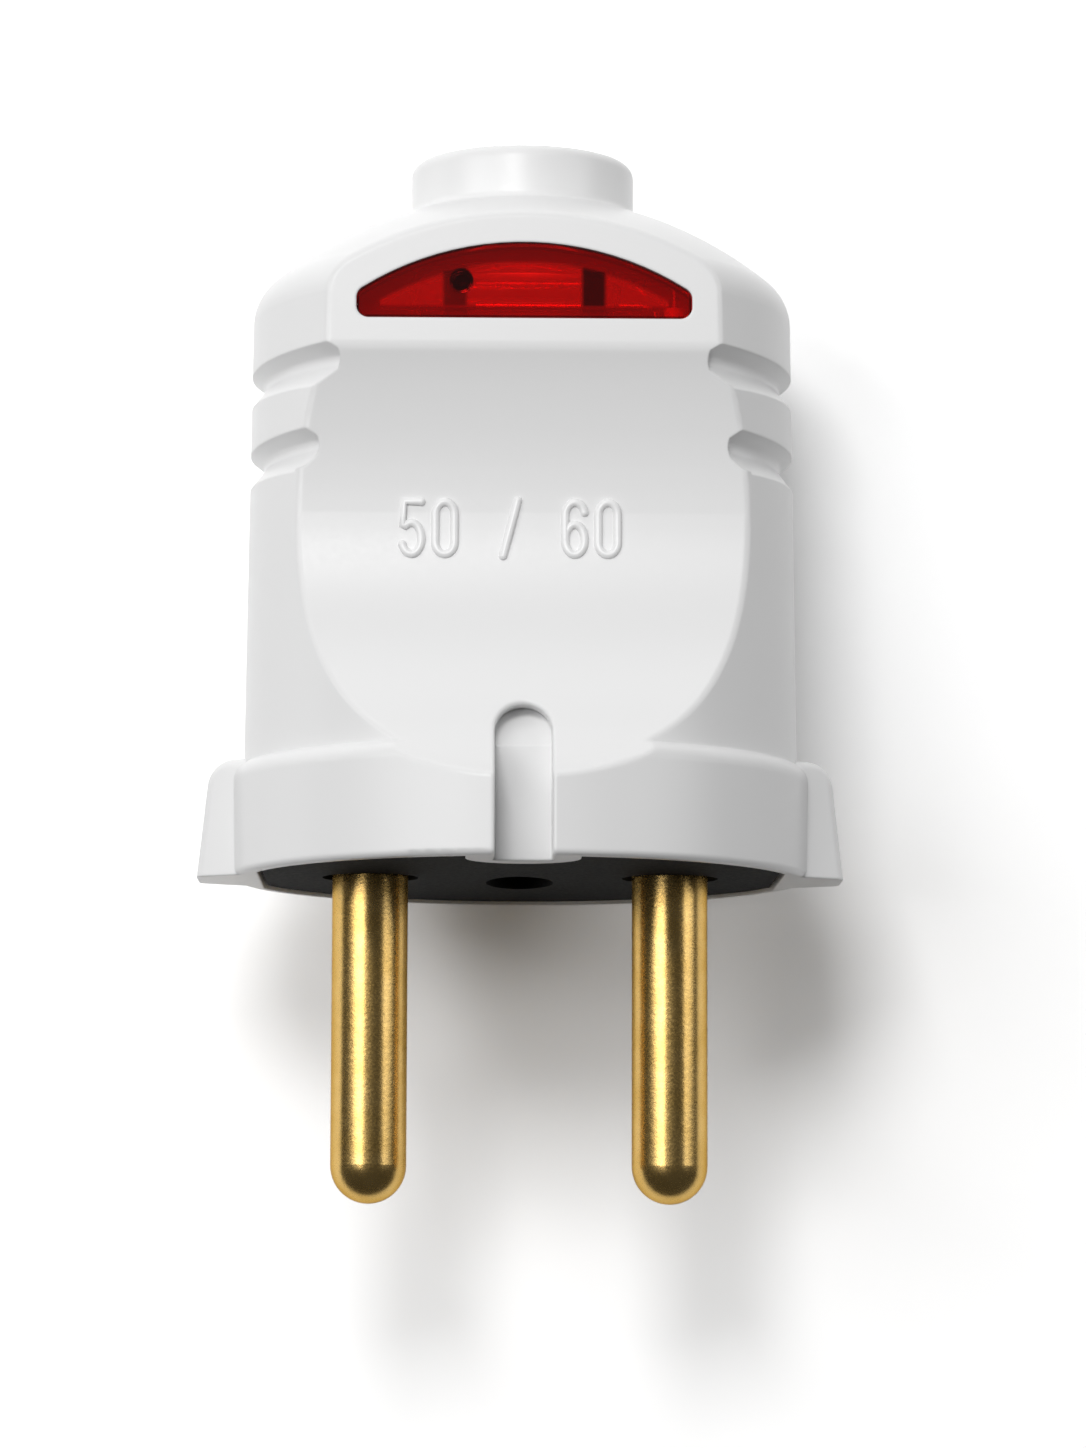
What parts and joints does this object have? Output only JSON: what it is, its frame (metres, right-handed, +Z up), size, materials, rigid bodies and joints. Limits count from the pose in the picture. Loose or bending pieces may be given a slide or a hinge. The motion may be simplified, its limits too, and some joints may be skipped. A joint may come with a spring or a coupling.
{
  "type": "two-pin plug",
  "caption": "Rewirable two-pin plug with round brass pins, white waisted housing, cable collar, grip grooves and a red indicator window, lying on its back",
  "frame": {"origin": "on the surface the plug lies on, under the middle of its bounding box", "axes": "+X across the two pins, +Y from the pins towards the cable collar, +Z up; the plug lies on its back with its pins tilted up by about ten degrees"},
  "size_m": [0.0408, 0.0668, 0.0369],
  "materials": {
    "white_moulding": "satin gloss moulding",
    "black_moulding": "fine matte moulding",
    "red_lens": "clear red, glossy",
    "pin_brass": "turned and tumbled, satin",
    "screw_steel": "zinc plated",
    "lamp_glass": "clear",
    "tinned_wire": "tinned",
    "resistor_coat": "lacquered",
    "sleeve_plastic": "soft plastic tube"
  },
  "bodies": {
    "root": {"housing": "white_moulding", "indicator_lens": "red_lens", "insert": "black_moulding", "pin_left": "pin_brass", "pin_right": "pin_brass", "terminal_screw_left": "screw_steel", "terminal_screw_right": "screw_steel", "centre_screw": "screw_steel", "square_nut": "screw_steel", "cord_clamp": "black_moulding", "clamp_screw_left": "screw_steel", "clamp_screw_right": "screw_steel", "lamp_holder": "black_moulding", "neon_lamp": "lamp_glass", "lamp_lead_left": "tinned_wire", "lamp_lead_right": "tinned_wire", "resistor_lead": "tinned_wire", "resistor": "resistor_coat", "sleeve_left": "sleeve_plastic", "sleeve_right": "sleeve_plastic"}
  },
  "joints": []
}
